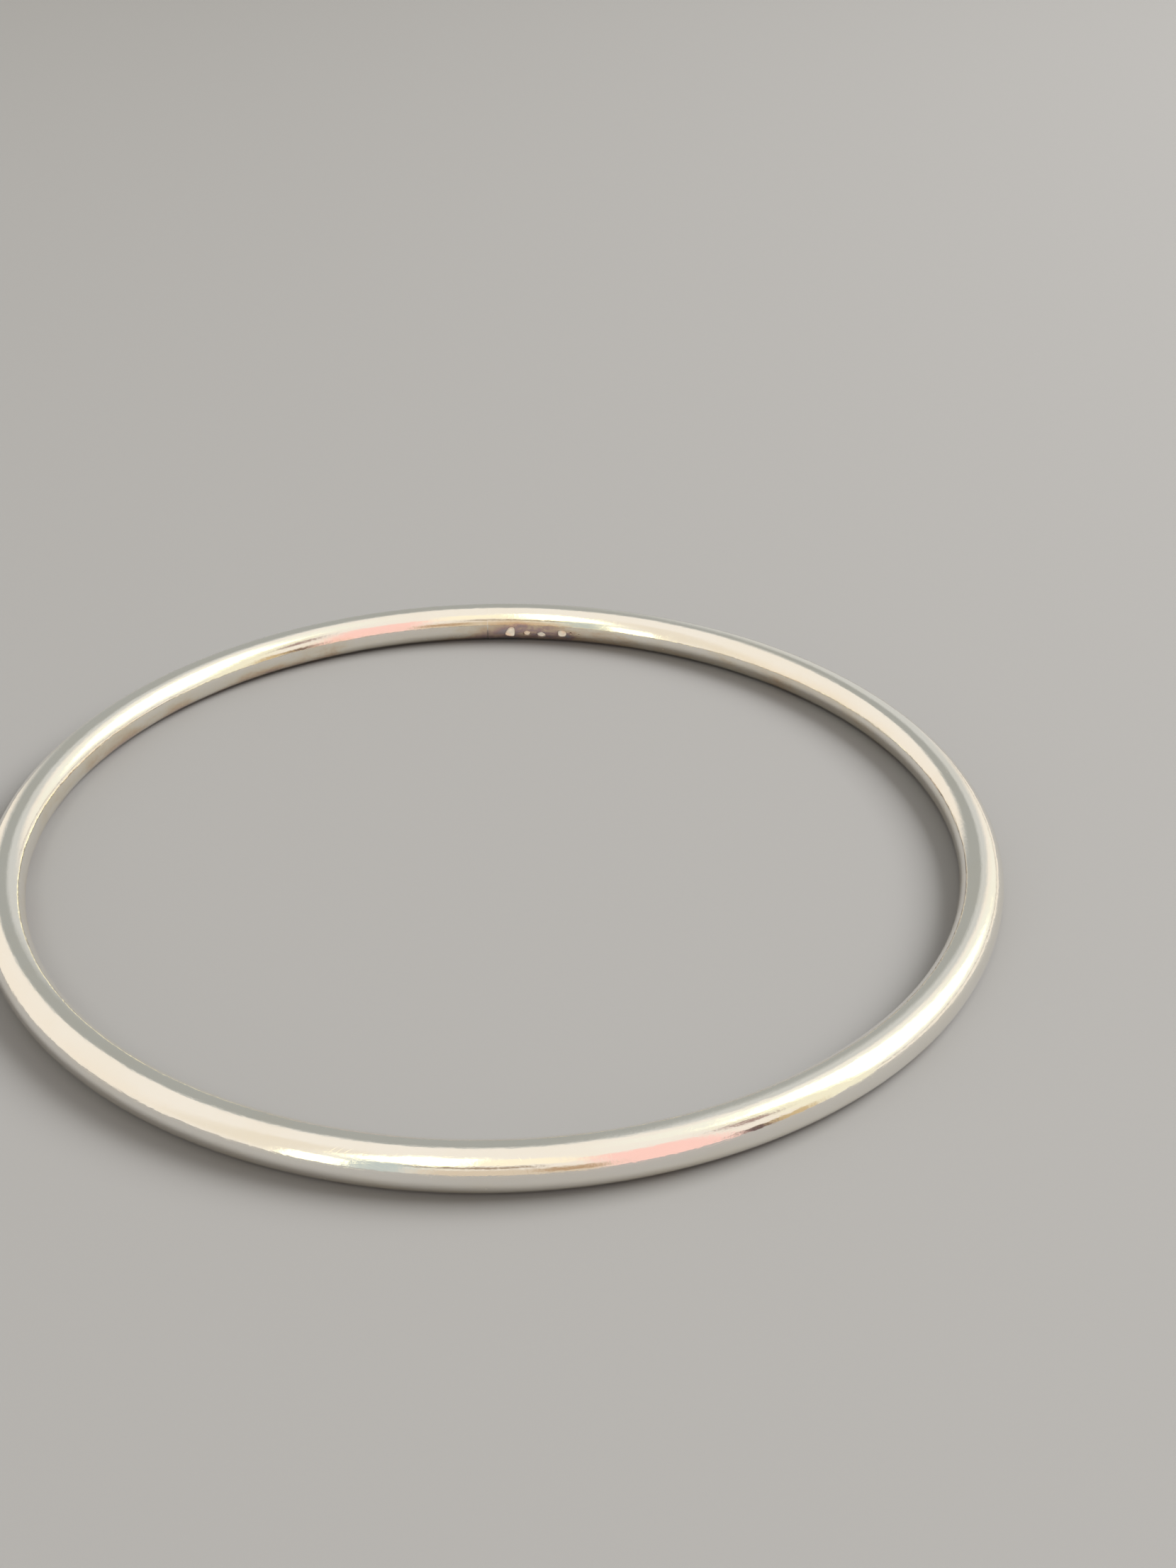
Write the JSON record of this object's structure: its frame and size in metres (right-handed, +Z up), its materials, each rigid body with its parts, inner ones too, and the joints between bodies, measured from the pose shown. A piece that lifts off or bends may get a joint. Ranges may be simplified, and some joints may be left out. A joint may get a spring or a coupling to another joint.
{
  "type": "bangle bracelet",
  "caption": "Plain closed bangle of round polished silver rod, bent into a ring and closed by one soldered butt joint.",
  "frame": {"origin": "on the surface that the bangle lies on, below the middle of the wrist opening", "axes": "+Z up along the axis of the ring, +Y from the middle of the ring towards the soldered joint"},
  "size_m": [0.071, 0.071, 0.003],
  "materials": {
    "sterling_silver": "mirror polished, with fine wear scratches",
    "silver_solder": "filed flush and polished"
  },
  "bodies": {
    "root": {"bangle_rod": "sterling_silver", "solder_joint": "silver_solder"}
  },
  "joints": []
}
